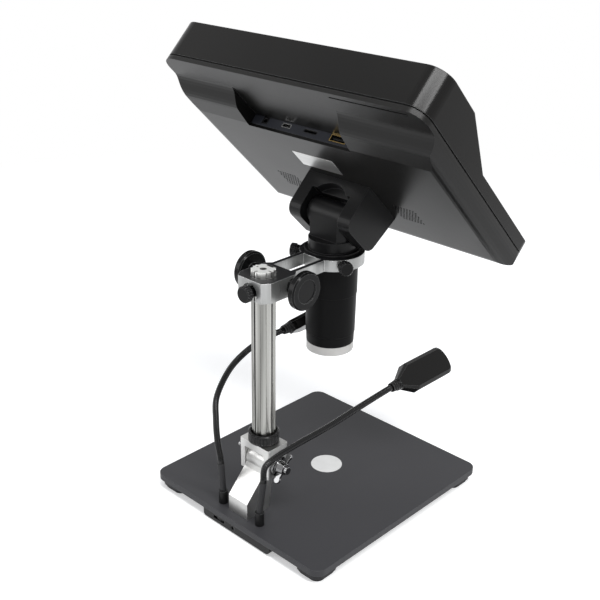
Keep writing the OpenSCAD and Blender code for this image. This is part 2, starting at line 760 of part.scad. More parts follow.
// Clearance holes round the ports, right through the shelf
module port_holes() {
    for (p = ports()) translate([p[0] - p[1]/2 - 0.15, shelf_v - wall - 1, port_w - p[2]/2 - 0.15])
        cube([p[1] + 0.3, wall + 2, p[2] + 0.3]);
}

// Strip that holds the ports, let into the shelf between the cover's face and the scoop's floor
module port_strip() {
    color([0.2, 0.21, 0.23]) monitor_frame() difference() {
        translate([scoop_x0 + strip_gap, shelf_v - wall, strip_w0 + strip_gap])
            cube([scoop_x1 - scoop_x0 - 2*strip_gap, wall - strip_gap, strip_w1 - strip_w0 - 2*strip_gap]);
        port_holes();
    }
}

// Staggered rows of grille holes, centred
module grille_holes() {
    n = floor(grille_size/grille_pitch);
    for (i = [0:n - 1], j = [0:n - 1])
        translate([(i - (n - 1)/2 + (j%2)/2 - 0.25)*grille_pitch, (j - (n - 1)/2)*grille_pitch*0.95])
            circle(r = grille_hole, $fn = 6);
}

// Ports along the shelf: place across, width, height
function ports() = [[47.4, 6, 6], [25.4, 8.6, 3.4], [1, 12.4, 2.6], [-26, 15.2, 5.6]];

// Bezel with the hood that rises along the sides and runs across the top
module front_frame() {
    hood = bezel_w + hood_depth;
    color([0.08, 0.08, 0.08]) monitor_frame() difference() {
        intersection() {
            across_x(mon_w) polygon([[-mon_low, parting_w + 0.05], [-mon_low, bezel_w], [hood_v0, bezel_w],
                [hood_v1, hood], [mon_high, hood], [mon_high, parting_w + 0.05]]);
            linear_extrude(hood + 1) monitor_plan(0);
        }
        // space under the hood
        translate([0, 0, bezel_w]) linear_extrude(hood_depth + 1) monitor_plan(wall);
        // space behind the bezel, then the screen's opening and the buttons' holes
        translate([0, 0, parting_w - 1]) linear_extrude(bezel_w - wall - parting_w + 1) monitor_plan(wall);
        translate([0, screen_v, bezel_w - 10]) linear_extrude(20)
            square([screen_w + 3, screen_h + 3], center = true);
        for (i = [1:button_n])
            translate([button_x(i), button_v, bezel_w - 10]) cylinder(r = button_r + gap, h = 20);
    }
}

module lcd_panel() {
    color([0.2, 0.2, 0.22]) monitor_frame() translate([0, screen_v, parting_w + 1.2])
        linear_extrude(bezel_w - wall - parting_w - 1.3)
            square([screen_w + 10, screen_h + 14], center = true);
}

module screen_glass() {
    color([0.03, 0.03, 0.04]) monitor_frame() translate([0, screen_v, bezel_w - wall])
        linear_extrude(1.4) square([screen_w + 2.6, screen_h + 2.6], center = true);
}

// Board on four posts that stand on the cover's inner face
module main_board() {
    post_z = back_w + wall;
    color("darkgreen") monitor_frame() {
        translate([-board_w/2, board_v[0], board_z]) cube([board_w, board_v[1] - board_v[0], 1.6]);
        for (x = [-30, 46], y = [board_v[0] + 6, board_v[1] - 8])
            translate([x, y, post_z]) cylinder(r = 3, h = board_z + 0.02 - post_z);
    }
}

// A port shell set in the shelf, its mouth facing the screen's upper edge
module port_shell(i, skin) {
    p = ports()[i];
    monitor_frame() translate([p[0] - p[1]/2, shelf_v - 10, port_w - p[2]/2]) difference() {
        cube([p[1], 9.9, p[2]]);
        translate([skin, 2, skin]) cube([p[1] - 2*skin, 9, p[2] - 2*skin]);
    }
}

module port_audio() {
    p = ports()[0];
    color([0.05, 0.05, 0.05]) monitor_frame() translate([p[0], shelf_v - 10, port_w]) difference() {
        translate([-p[1]/2, 0, -p[2]/2]) cube([p[1], 9.9, p[2]]);
        translate([0, 2, 0]) along_y() cylinder(r = 1.8, h = 10);
    }
}

module port_usb() { color("silver") port_shell(1, 0.4); }
module port_card() { color([0.2, 0.2, 0.2]) port_shell(2, 0.4); }
module port_hdmi() { color("gold") port_shell(3, 0.5); }

module speakers() {
    color([0.15, 0.15, 0.15]) monitor_frame() for (x = speaker_x)
        translate([x, speaker_v, back_w + wall + 0.05]) {
            difference() {
                round_plate(grille_size + 4, grille_size + 4, 5, 3);
                translate([0, 0, -1]) cylinder(r = grille_size/2 - 1, h = 2);
            }
            translate([0, 0, 4.9]) cylinder(r = 7, h = 3);
        }
}

function button_x(i) = (i - (button_n + 1)/2)*18;

module bezel_button(i) {
    color([0.15, 0.15, 0.15]) monitor_frame() translate([button_x(i), button_v, 0]) {
        translate([0, 0, bezel_w - wall - 1.5]) cylinder(r = button_r, h = wall + 2.3);
        translate([0, 0, bezel_w - wall - 2.4]) cylinder(r = button_r + 1, h = 1.6);
    }
}

module button_1() { bezel_button(1); }
module button_2() { bezel_button(2); }
module button_3() { bezel_button(3); }
module button_4() { if (button_n >= 4) bezel_button(4); }
module button_5() { if (button_n >= 5) bezel_button(5); }

// ---------- lamps on flexible necks ----------

// Routes of the two necks from the sleeves to the lamp heads
left_route = [[21, 101.5, 38], [21, 102, 44.5], [21.5, 104, 60], [22, 104.5, 78], [24.5, 101, 96], [29, 84, 111],
    [34, 62, 117], [40, 36, 117.5], [43, 17, 116], [43, 11, 116]];
right_route = [[-22, 96.5, 38], [-22.5, 95, 51], [-26, 87.5, 58], [-32, 69, 65], [-37, 42, 70], [-41, 12, 76],
    [-44, -21, 81], [-44, -27, 81]];

// Point on a smooth curve through the route at parameter s, one unit for each leg
function on_route(p, s) = let (n = len(p) - 1, i = min(floor(s), n - 1), t = s - i, b = p[i], c = p[i + 1],
    a = i > 0 ? p[i - 1] : 2*p[0] - p[1], d = i < n - 1 ? p[i + 2] : 2*p[n] - p[n - 1])
    0.5*(2*b + (c - a)*t + (2*a - 5*b + 4*c - d)*t*t + (3*b - a - 3*c + d)*t*t*t);
function route_dir(p, s) = let (h = 0.01, ahead = on_route(p, min(s + h, len(p) - 1)),
    v = ahead - on_route(p, max(s - h, 0))) v/norm(v);
function route_samples(p, n) = [for (k = [0:n]) on_route(p, k*(len(p) - 1)/n)];
function route_table(p, n) = let (q = route_samples(p, n))
    [for (k = 0, l = 0; k <= n; l = l + (k < n ? norm(q[k + 1] - q[k]) : 0), k = k + 1) l];
function param_at(table, len_at, legs) = let (n = len(table) - 1,
    k = max([for (j = [0:n - 1]) table[j] <= len_at ? j : 0]))
    (k + min(1, (len_at - table[k])/(table[k + 1] - table[k])))*legs/n;

// Ring of eight points square to the route
function ring_at(p, s, r) = let (d = route_dir(p, s), side = cross(d, [1, 0, 0]), u = side/norm(side),
    w = cross(d, u))
    [for (k = [0:7]) on_route(p, s) + r*(cos(k*45)*u + sin(k*45)*w)];

// Ribbed tube along a route: two rings for each rib, and a bore of plain rings
module ribbed_neck(p, r) {
    legs = len(p) - 1;
    table = route_table(p, 90);
    total = table[90];
    ribs = floor((total - 4*r)/rib_pitch);
    lead = (total - ribs*rib_pitch)/2;
    rib_marks = [for (i = [0:ribs - 1], k = [0, 1]) [lead + (i + k*0.55)*rib_pitch, r - k*0.42]];
    marks = concat([[0, r]], rib_marks, [[total, r]]);
    bores = [for (i = [0:16]) total*i/16];
    outer = [for (m = marks) ring_at(p, param_at(table, m[0], legs), m[1])];
    inner = [for (b = bores) ring_at(p, param_at(table, b, legs), r - 1.3)];
    no = len(outer);
    ni = len(inner);
    pts = [for (q = outer) each q, for (q = inner) each q];
    function o(i, k) = i*8 + k%8;
    function n(i, k) = (no + i)*8 + k%8;
    // two triangles for the corners a, b, c, d of a patch
    function patch(a, b, c, d) = [[a, b, c], [a, c, d]];
    faces = concat(
        [for (i = [0:no - 2], k = [0:7]) each patch(o(i, k), o(i, k + 1), o(i + 1, k + 1), o(i + 1, k))],
        [for (i = [0:ni - 2], k = [0:7]) each patch(n(i, k), n(i + 1, k), n(i + 1, k + 1), n(i, k + 1))],
        [for (k = [0:7]) each patch(o(0, k), n(0, k), n(0, k + 1), o(0, k + 1))],
        [for (k = [0:7]) each patch(o(no - 1, k), o(no - 1, k + 1), n(ni - 1, k + 1), n(ni - 1, k))]);
    polyhedron(pts, faces, convexity = 10);
}

module flex_neck_left() { color([0.06, 0.06, 0.06]) ribbed_neck(left_route, flex_r); }
module flex_neck_right() { color([0.06, 0.06, 0.06]) ribbed_neck(right_route, flex_r); }

module neck_sockets() {
    color([0.05, 0.05, 0.05]) for (s = [-1, 1])
        translate([s*collar_x, collar_y, 0]) tube(3.7, sleeve_r + fit, collar_h);
}

// Sleeves that stand in the sockets and lean over to meet the ribbed necks
module neck_sleeves() {
    color([0.1, 0.1, 0.1]) for (p = [left_route, right_route])
        sleeve([sign(p[0][0])*collar_x, collar_y, collar_h + 0.5], p[0]);
}

module sleeve(bend, head) {
    v = head - bend;
    translate([bend[0], bend[1], 0.3]) cylinder(r = sleeve_r, h = bend[2] - 0.3);
    translate(bend) sphere(r = sleeve_r);
    translate(bend) rotate([0, acos(v[2]/norm(v)), atan2(v[1], v[0])])
        cylinder(r1 = sleeve_r, r2 = flex_r + 0.2, h = norm(v));
}

// Lamp axes: x along the head, y across it, z out of its back
module lamp_frame(side) {
    p = side > 0 ? left_route[len(left_route) - 1] : right_route[len(right_route) - 1];
    translate(p) rotate([0, 0, -90]) rotate([side > 0 ? -45 : 45, 0, 0]) children();
}

// Plan of a lamp head: neck, flare, straight sides and a bowed end with round corners
module lamp_plan(i) {
    hw = lamp_w/2 - i;
    r = 7 - i;
    a = 20;
    bow = (hw - r)/sin(a);
    corner = lamp_len - i - r - bow*(1 - cos(a));
    polygon(concat([[9, -4.4 + i*0.5], [13, -5 + i*0.5], [25, -hw]],
        arc_points([corner, -(hw - r)], r, -90, -a, 5), arc_points([corner - bow*cos(a), 0], bow + r, -a, a, 6),
        arc_points([corner, hw - r], r, a, 90, 5), [[25, hw], [13, 5 - i*0.5], [9, 4.4 - i*0.5]]));
}

// Lamp head with a bevelled back, a stepped ferrule and a window underneath
module lamp(side) {
    back = lamp_t/2;
    color([0.07, 0.07, 0.07]) lamp_frame(side) difference() {
        union() {
            translate([0, 0, -back]) linear_extrude(lamp_t - 2.5) lamp_plan(0);
            hull() {
                translate([0, 0, back - 2.51]) linear_extrude(0.01) lamp_plan(0);
                translate([0, 0, back - 0.01]) linear_extrude(0.01) lamp_plan(2.6);
            }
            for (k = [0:3]) translate([0.8 + k*2.4, 0, 0]) along_x() cylinder(r = 3.9 + k*0.25, h = 1.5);
            translate([0.4, 0, 0]) along_x() cylinder(r = 3.6, h = 9);
        }
        translate([30, -lamp_w/2 + 3.5, -back - 1]) cube([lamp_len - 42, lamp_w - 7, 3.4]);
    }
}

module lamp_left() { lamp(1); }
module lamp_right() { lamp(-1); }

module lamp_lenses() {
    color([0.92, 0.92, 0.9]) for (side = [-1, 1]) lamp_frame(side)
        translate([30.15, -lamp_w/2 + 3.65, -lamp_t/2 + 0.2]) cube([lamp_len - 42.3, lamp_w - 7.3, 2]);
}

base_plate();
base_feet();
control_box();
dimmer_wheel();
power_jack();
stage_window();
stage_light_board();
foot_arm();
foot_screws();
neck_sockets();
neck_sleeves();
flex_neck_left();
flex_neck_right();
lamp_left();
lamp_right();
lamp_lenses();
yoke();
collar_nut();
column();
column_screw();
rack();
pivot_bolt();
wing_nut();
focus_arm();
focus_shaft();
focus_pinion();
focus_knob_left();
focus_knob_right();
lock_knob();
ring_screw_left();
ring_screw_right();
barrel_sleeve();
barrel_lower();
light_ring();
light_board();
lens_cell();
lens_glass();
sensor_board();
scope_neck();
tilt_pin();
bracket();
back_cover();
front_frame();
lcd_panel();
screen_glass();
main_board();
port_strip();
port_audio();
port_usb();
port_card();
port_hdmi();
speakers();
button_1();
button_2();
button_3();
button_4();
button_5();
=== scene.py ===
"""Looks of a desk microscope with a hooded tilting screen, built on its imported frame.

Every length is in metres, in the frame's own axes: +Z up the optical axis, the user at -Y.
"""

from __future__ import annotations

import json
import logging
import math
from dataclasses import dataclass, field
from enum import Enum
from typing import Any, Sequence, Union

import bmesh
import bpy
from mathutils import Matrix, Vector

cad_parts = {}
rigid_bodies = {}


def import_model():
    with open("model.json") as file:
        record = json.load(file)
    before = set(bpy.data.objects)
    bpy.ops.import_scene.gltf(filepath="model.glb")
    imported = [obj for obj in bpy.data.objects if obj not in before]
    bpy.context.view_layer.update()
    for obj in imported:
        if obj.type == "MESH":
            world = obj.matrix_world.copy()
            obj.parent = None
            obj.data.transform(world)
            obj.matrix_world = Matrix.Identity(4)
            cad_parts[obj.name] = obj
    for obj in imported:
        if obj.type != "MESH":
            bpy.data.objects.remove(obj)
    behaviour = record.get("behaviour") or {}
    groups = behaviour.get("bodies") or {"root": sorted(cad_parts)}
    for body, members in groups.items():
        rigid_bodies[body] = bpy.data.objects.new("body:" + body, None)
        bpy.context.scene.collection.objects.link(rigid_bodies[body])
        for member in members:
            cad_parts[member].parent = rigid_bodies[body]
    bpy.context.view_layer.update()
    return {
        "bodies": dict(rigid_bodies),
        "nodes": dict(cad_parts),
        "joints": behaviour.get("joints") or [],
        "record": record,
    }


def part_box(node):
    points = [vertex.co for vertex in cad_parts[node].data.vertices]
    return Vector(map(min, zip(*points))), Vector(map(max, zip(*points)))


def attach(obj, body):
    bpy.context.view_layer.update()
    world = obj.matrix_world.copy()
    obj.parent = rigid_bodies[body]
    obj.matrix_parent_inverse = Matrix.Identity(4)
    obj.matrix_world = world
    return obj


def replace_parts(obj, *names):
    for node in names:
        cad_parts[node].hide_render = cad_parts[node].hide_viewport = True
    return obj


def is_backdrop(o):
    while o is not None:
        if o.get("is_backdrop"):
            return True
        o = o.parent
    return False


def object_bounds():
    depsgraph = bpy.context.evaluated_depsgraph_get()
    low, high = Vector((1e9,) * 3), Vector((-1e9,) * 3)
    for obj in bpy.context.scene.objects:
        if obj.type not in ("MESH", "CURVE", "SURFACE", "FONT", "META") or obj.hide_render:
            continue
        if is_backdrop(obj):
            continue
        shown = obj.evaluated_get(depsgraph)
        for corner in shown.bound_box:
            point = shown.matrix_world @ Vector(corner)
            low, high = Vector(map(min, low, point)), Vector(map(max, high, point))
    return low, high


LOG = logging.getLogger("microscope")
MM = 0.001
SCREEN_HEIGHT = 0.226
SCREEN_TILT = math.radians(45.0)
SCREEN = Matrix.Translation((0.0, 0.0, SCREEN_HEIGHT)) @ Matrix.Rotation(SCREEN_TILT, 4, "X")
COAT = 0.05 * MM
WHITE = (1.0, 1.0, 1.0)
SHARP_ANGLE = math.radians(35.0)
Colour = tuple[float, float, float]
Point = tuple[float, float, float]
Number = Union[float, "Channel"]


class Axis(Enum):
    """The direction in which a metal was drawn, brushed or turned."""

    ALONG_X = (0.04, 1.0, 1.0)
    ALONG_Z = (1.0, 1.0, 0.04)
    NONE = (1.0, 1.0, 1.0)


# ---------------------------------------------------------------- shader maths


@dataclass(frozen=True)
class Channel:
    """A number-valued socket that can be used in sums.

    Attributes:
        graph: The graph that the socket belongs to.
        socket: The output socket itself.
    """

    graph: "Graph"
    socket: bpy.types.NodeSocket

    def _math(self, operation: str, first: Number, second: Number) -> "Channel":
        """Return the socket of one Math node.

        Args:
            operation: The Math node's operation.
            first: The first value.
            second: The second value.

        Returns:
            The result as a channel.
        """
        return self.graph.node("ShaderNodeMath", {"operation": operation}, {0: first, 1: second})

    def __add__(self, other: Number) -> "Channel":
        """Return self + other."""
        return self._math("ADD", self, other)

    __radd__ = __add__

    def __sub__(self, other: Number) -> "Channel":
        """Return self - other."""
        return self._math("SUBTRACT", self, other)

    def __rsub__(self, other: Number) -> "Channel":
        """Return other - self."""
        return self._math("SUBTRACT", other, self)

    def __mul__(self, other: Number) -> "Channel":
        """Return self * other."""
        return self._math("MULTIPLY", self, other)

    __rmul__ = __mul__

    def __truediv__(self, other: Number) -> "Channel":
        """Return self / other."""
        return self._math("DIVIDE", self, other)

    def above(self, threshold: Number) -> "Channel":
        """Return 1 where self is over the threshold, and 0 elsewhere."""
        return self._math("GREATER_THAN", self, threshold)

    def at_least(self, floor: Number) -> "Channel":
        """Return the larger of self and floor."""
        return self._math("MAXIMUM", self, floor)

    def at_most(self, ceiling: Number) -> "Channel":
        """Return the smaller of self and ceiling."""
        return self._math("MINIMUM", self, ceiling)

    def unit(self) -> "Channel":
        """Return self held between 0 and 1."""
        return self.at_least(0.0).at_most(1.0)


class Graph:
    """The node graph of one material, or of the world."""

    def __init__(self, name: str, world: bpy.types.World | None = None) -> None:
        """Start an empty graph.

        Args:
            name: The material's name.
            world: The world, where the graph is the world's own.
        """
        self.material = world or bpy.data.materials.new(name)
        self.material.use_nodes = True
        self.tree = self.material.node_tree
        self.tree.nodes.clear()

    def node(self, kind: str, settings: dict[str, Any] | None = None,
             inputs: dict[Any, Any] | None = None, output: int | str = 0) -> Channel:
        """Add a node, set it up, and wire its sockets.

        Args:
            kind: The node's type.
            settings: Properties of the node, set before its sockets.
            inputs: Values or channels by socket name or number.
            output: The number or name of the socket to return.

        Returns:
            The chosen output socket as a channel.
        """
        made = self.tree.nodes.new(kind)
        for key, value in (settings or {}).items():
            setattr(made, key, value)
        for key, value in (inputs or {}).items():
            if isinstance(value, Channel):
                self.tree.links.new(value.socket, made.inputs[key])
            elif isinstance(value, tuple) and len(value) == 3 and made.inputs[key].type == "RGBA":
                made.inputs[key].default_value = (*value, 1.0)
            else:
                made.inputs[key].default_value = value
        return Channel(self, made.outputs[output]) if made.outputs else None

    def place(self, stretch: Sequence[float] = (1.0, 1.0, 1.0)) -> Channel:
        """Return object coordinates, stretched along the axes.

        Args:
            stretch: Scale along X, Y and Z.

        Returns:
            The coordinates.
        """
        where = self.node("ShaderNodeTexCoord", output=3)
        return self.node("ShaderNodeMapping", {}, {"Vector": where, "Scale": tuple(stretch)})

    def coordinate(self, axis: str) -> Channel:
        """Return the object coordinate along one axis, which is X, Y or Z."""
        return self.node("ShaderNodeSeparateXYZ", {}, {0: self.place()}, output=axis)

    def noise(self, scale: float, detail: float = 2.0, stretch: Sequence[float] = (1.0, 1.0, 1.0)) -> Channel:
        """Return a noise value from 0 to 1.

        Args:
            scale: Waves per metre.
            detail: Octaves of detail.
            stretch: Scale along X, Y and Z.

        Returns:
            The noise.
        """
        where = self.place(stretch)
        return self.node("ShaderNodeTexNoise", {}, {"Vector": where, "Scale": scale, "Detail": detail})

    def shade(self, dark: Colour, light: Colour, amount: Channel) -> Channel:
        """Return a colour between two.

        Args:
            dark: The colour at 0.
            light: The colour at 1.
            amount: Where between them.

        Returns:
            The mixed colour.
        """
        return self.node("ShaderNodeMix", {"data_type": "RGBA"}, {0: amount, 6: dark, 7: light}, output=2)

    def soft_edge(self, radius: float) -> Channel:
        """Return a normal that rounds the sharp edges by a radius in metres."""
        return self.node("ShaderNodeBevel", {"samples": 4}, {"Radius": radius})

    def rim(self, rounded: Channel) -> Channel:
        """Return 1 along the sharp edges, falling to 0 inwards.

        Args:
            rounded: The normal that rounds the edges.

        Returns:
            The mask.
        """
        flat = self.node("ShaderNodeNewGeometry", output="True Normal")
        along = self.node("ShaderNodeVectorMath", {"operation": "DOT_PRODUCT"}, {0: flat, 1: rounded},
                          output="Value")
        return ((1.0 - along) * 6.0).unit()

    def seen(self) -> Channel:
        """Return 1 for the rays that show the background: straight, mirrored or through glass."""
        straight, mirrored, through = (self.node("ShaderNodeLightPath", output=f"Is {kind} Ray")
                                       for kind in ("Camera", "Glossy", "Transmission"))
        return (straight + mirrored + through).at_most(1.0)

    def bump(self, height: Channel, depth: float, normal: Channel | None = None) -> Channel:
        """Return a bumped normal.

        Args:
            height: The height from 0 to 1.
            depth: The height in metres that 1 stands for.
            normal: The normal underneath.

        Returns:
            The bumped normal.
        """
        inputs: dict[Any, Any] = {"Height": height, "Distance": depth, "Strength": 1.0}
        if normal is not None:
            inputs["Normal"] = normal
        return self.node("ShaderNodeBump", {}, inputs)

    def principled(self, **inputs: Any) -> bpy.types.Material:
        """Finish the material with one Principled shader.

        Args:
            **inputs: Socket values, with underscores for spaces.

        Returns:
            The material.
        """
        named = {key.replace("_", " "): value for key, value in inputs.items()}
        shader = self.node("ShaderNodeBsdfPrincipled", {}, named)
        self.node("ShaderNodeOutputMaterial", {}, {"Surface": shader})
        return self.material


# ---------------------------------------------------------------- finishes


@dataclass(frozen=True)
class MouldedPlastic:
    """Injection-moulded plastic with a fine spark texture.

    Attributes:
        name: The material's name.
        colour: Its base colour.
        roughness: Its mean roughness.
        specular: Strength of its mirror-like shine; 0.5 is that of bare plastic.
        grain: Waves of texture per metre.
        depth: Depth of the texture in metres.
        edge: Radius of the rounded edges in metres.
        edge_wear_and_highlight: How light the edges are painted, as wear and as a painted highlight along
            them.
    """

    name: str
    colour: Colour
    roughness: float
    specular: float = 0.25
    grain: float = 1400.0
    depth: float = 0.00001
    edge: float = 0.0006
    edge_wear_and_highlight: float = 0.05

    def material(self) -> bpy.types.Material:
        """Return the material."""
        graph = Graph(self.name)
        grain = graph.noise(self.grain, 3.0)
        cloud = graph.noise(18.0, 2.0)
        rounded = graph.soft_edge(self.edge)
        light = tuple(min(1.0, c * 1.25 + 0.001) for c in self.colour)
        body = graph.shade(self.colour, light, cloud)
        return graph.principled(
            # The edges are painted lighter: wear, and a painted highlight along them.
            Base_Color=graph.shade(body, (self.edge_wear_and_highlight,) * 3, graph.rim(rounded) * 0.7),
            Roughness=self.roughness + (cloud - 0.5) * 0.06 + (grain - 0.5) * 0.08,
            Specular_IOR_Level=self.specular,
            Normal=graph.bump(grain, self.depth, rounded),
        )


@dataclass(frozen=True)
class PowderCoat:
    """Powder-coated sheet steel: a fine orange peel under a satin gloss.

    Attributes:
        name: The material's name.
        colour: Its base colour.
        roughness: Its mean roughness.
        specular: Strength of its mirror-like shine.
    """

    name: str
    colour: Colour
    roughness: float = 0.48
    specular: float = 0.2

    def material(self) -> bpy.types.Material:
        """Return the material."""
        graph = Graph(self.name)
        peel = graph.noise(700.0, 2.0)
        speck = graph.noise(2600.0, 1.0)
        light = tuple(c * 1.18 for c in self.colour)
        height = peel * 0.7 + speck * 0.3
        rounded = graph.soft_edge(0.0007)
        body = graph.shade(self.colour, light, speck)
        return graph.principled(
            # The edges are painted lighter: worn coat, and a painted highlight along them.
            Base_Color=graph.shade(body, (0.10, 0.10, 0.105), graph.rim(rounded) * 0.6),
            Roughness=self.roughness + (peel - 0.5) * 0.12,
            Specular_IOR_Level=self.specular,
            Normal=graph.bump(height, 0.00003, rounded),
        )


@dataclass(frozen=True)
class WorkedMetal:
    """Bare metal with the lines of its working.

    Attributes:
        name: The material's name.
        colour: Its base colour.
        roughness: Its mean roughness.
        lines: The direction of the lines.
        scale: Lines per metre.
        depth: Depth of the lines in metres.
        edge: Radius of the rounded edges in metres.
        dull: The darkest tone, as a share of the colour.
        edge_polish_and_highlight: The tone of the edges, burnished by wear and lightened as a painted
            highlight.
    """

    name: str
    colour: Colour
    roughness: float
    lines: Axis = Axis.NONE
    scale: float = 2500.0
    depth: float = 0.000015
    edge: float = 0.0004
    dull: float = 0.7
    edge_polish_and_highlight: float = 0.85

    def material(self) -> bpy.types.Material:
        """Return the material."""
        graph = Graph(self.name)
        streak = graph.noise(self.scale, 3.0, self.lines.value)
        cloud = graph.noise(60.0, 2.0, self.lines.value)
        rounded = graph.soft_edge(self.edge)
        dark = tuple(c * self.dull for c in self.colour)
        tone = ((cloud * 0.6 + streak * 0.4 - 0.5) * 2.0 + 0.5).unit()
        body = graph.shade(dark, self.colour, tone)
        return graph.principled(
            # The edges are painted lighter: burnished wear, and a painted highlight along them.
            Base_Color=graph.shade(body, (self.edge_polish_and_highlight,) * 3, graph.rim(rounded) * 0.8),
            Metallic=1.0,
            Roughness=(self.roughness + (streak - 0.5) * 0.16 + (cloud - 0.5) * 0.06).at_least(0.05),
            Normal=graph.bump(streak, self.depth, rounded),
        )


@dataclass(frozen=True)
class DrawnColumn:
    """Drawn aluminium with grey stripes along its flutes, part drawing marks and part painted reflection, and
    a painted highlight on its sawn end.

    Attributes:
        name: The material's name.
        top: Height of the sawn end in metres.
        highlit_stub: Length of the painted highlight below that end, in metres.
        dark: The tone of the dark stripes, part drawing marks and part painted reflection.
        light: The tone of the light stripes, part drawing marks and part painted reflection.
    """

    name: str
    top: float
    highlit_stub: float = 0.0047
    dark: Colour = (0.15, 0.15, 0.142)
    light: Colour = (0.40, 0.40, 0.38)

    def material(self) -> bpy.types.Material:
        """Return the material."""
        graph = Graph(self.name)
        height = graph.coordinate("Z")
        band = graph.noise(240.0, 1.0, (1.0, 1.0, 0.02))
        fine = graph.noise(1500.0, 2.0, (1.0, 1.0, 0.012))
        rounded = graph.soft_edge(0.0003)
        tone = ((band * 0.8 + fine * 0.2 - 0.5) * 2.6 + 0.5).unit()
        # Random dark and light stripes along the flutes: marks of the drawing, and painted reflections in the
        # flutes.
        streaks_and_reflections = graph.shade(self.dark, self.light, tone)
        # The end face is made mostly non-metallic so that it shows bright: a painted highlight.
        sawn = height.above(self.top - COAT)
        # The short length below the end and the edges are painted bright: a painted highlight.
        highlit_stub = height.above(self.top - self.highlit_stub)
        painted_highlight = (highlit_stub + graph.rim(rounded) * 0.4).at_most(1.0)
        return graph.principled(
            Base_Color=graph.shade(streaks_and_reflections, (0.82, 0.82, 0.80), painted_highlight),
            Metallic=1.0 - sawn * 0.7,
            Roughness=0.30 + (fine - 0.5) * 0.14,
            Normal=graph.bump(fine, 0.00001, rounded),
        )


@dataclass(frozen=True)
class SocketShell:
    """A plated socket: bright round its mouth, and darkened deeper in by painted shade.

    Attributes:
        name: The material's name.
        metal: The plating's colour.
        mouth: Height of the mouth up the screen in metres.
        lip: Depth to which the plating stays bright before the painted shade starts, in metres.
        fall: Depth over which the painted shade then turns it dark, in metres.
    """

    name: str
    metal: Colour
    mouth: float = 0.0669
    lip: float = 0.0003
    fall: float = 0.0004

    def material(self) -> bpy.types.Material:
        """Return the material."""
        graph = Graph(self.name)
        back = graph.coordinate("Y") * math.cos(SCREEN_TILT)
        rise = (graph.coordinate("Z") - SCREEN_HEIGHT) * math.sin(SCREEN_TILT)
        depth = self.mouth - (back + rise)
        # Painted shade: deeper in from the mouth the socket turns dark and loses its metal shine.
        painted_recess_shade = ((depth - self.lip) / self.fall).unit()
        tint = graph.noise(500.0, 2.0)
        return graph.principled(
            Base_Color=graph.shade(self.metal, (0.012, 0.011, 0.010), painted_recess_shade),
            Metallic=1.0 - painted_recess_shade,
            Roughness=0.24 + tint * 0.08,
        )


@dataclass(frozen=True)
class BlackAndBright:
    """A casting with a black top face and bright machined sides.

    Attributes:
        name: The material's name.
        top: Height of the top face in metres.
        black: Colour of the coated face.
        dark: The dark tone of the bare sides.
        bright: The bright tone of the bare sides.
    """

    name: str
    top: float
    black: Colour = (0.012, 0.012, 0.013)
    dark: Colour = (0.24, 0.242, 0.238)
    bright: Colour = (0.43, 0.435, 0.43)

    def material(self) -> bpy.types.Material:
        """Return the material."""
        graph = Graph(self.name)
        height = graph.coordinate("Z")
        coated = height.above(self.top - COAT)
        streak = graph.noise(2400.0, 3.0, Axis.ALONG_Z.value)
        grain = graph.noise(1500.0, 2.0)
        cloud = graph.noise(90.0, 2.0, (1.0, 1.0, 0.3))
        rounded = graph.soft_edge(0.0004)
        rim = graph.rim(rounded)
        tone = ((cloud * 0.8 + streak * 0.2 - 0.5) * 2.4 + 0.5).unit()
        faces = graph.shade(graph.shade(self.dark, self.bright, tone), self.black, coated)
        return graph.principled(
            # The edges are painted bright and more metallic: bare machined metal, and a painted highlight
            # along them.
            Base_Color=graph.shade(faces, (0.86, 0.86, 0.86), rim * 0.85),
            Metallic=((1.0 - coated) * 0.8 + rim * 0.2).at_most(1.0),
            Roughness=0.30 + coated * 0.10 + (streak - 0.5) * 0.14,
            Specular_IOR_Level=0.25,
            Normal=graph.bump(streak * 0.4 + grain * 0.6, 0.00001, rounded),
        )


@dataclass(frozen=True)
class Rubber:
    """Soft black rubber.

    Attributes:
        name: The material's name.
        colour: Its base colour.
        roughness: Its mean roughness.
        specular: Strength of its mirror-like shine.
        edge: Radius of the rounded edges in metres, or 0 where the shape has its own.
    """

    name: str
    colour: Colour = (0.012, 0.012, 0.013)
    roughness: float = 0.60
    specular: float = 0.3
    edge: float = 0.0005

    def material(self) -> bpy.types.Material:
        """Return the material."""
        graph = Graph(self.name)
        grain = graph.noise(900.0, 3.0)
        dust = graph.noise(120.0, 3.0)
        light = tuple(c * 1.6 for c in self.colour)
        return graph.principled(
            Base_Color=graph.shade(self.colour, light, dust),
            Roughness=self.roughness + (grain - 0.5) * 0.12,
            Specular_IOR_Level=self.specular,
            Normal=graph.bump(grain, 0.00002, graph.soft_edge(self.edge) if self.edge else None),
        )


@dataclass(frozen=True)
class Diffuser:
    """Frosted plastic that spreads the light of the lamps behind it.

    Attributes:
        name: The material's name.
        colour: Its base colour.
        roughness: Its mean roughness.
    """

    name: str
    colour: Colour = (0.54, 0.53, 0.515)
    roughness: float = 0.38

    def material(self) -> bpy.types.Material:
        """Return the material."""
        graph = Graph(self.name)
        frost = graph.noise(1800.0, 2.0)
        ripple = graph.noise(110.0, 2.0)
        dim = tuple(c * 0.86 for c in self.colour)
        return graph.principled(
            Base_Color=graph.shade(dim, self.colour, ripple),
            Roughness=self.roughness + (frost - 0.5) * 0.12,
            Subsurface_Weight=0.25,
            Subsurface_Radius=(0.002, 0.002, 0.002),
            Normal=graph.bump(frost, 0.00002, graph.soft_edge(0.0005)),
        )


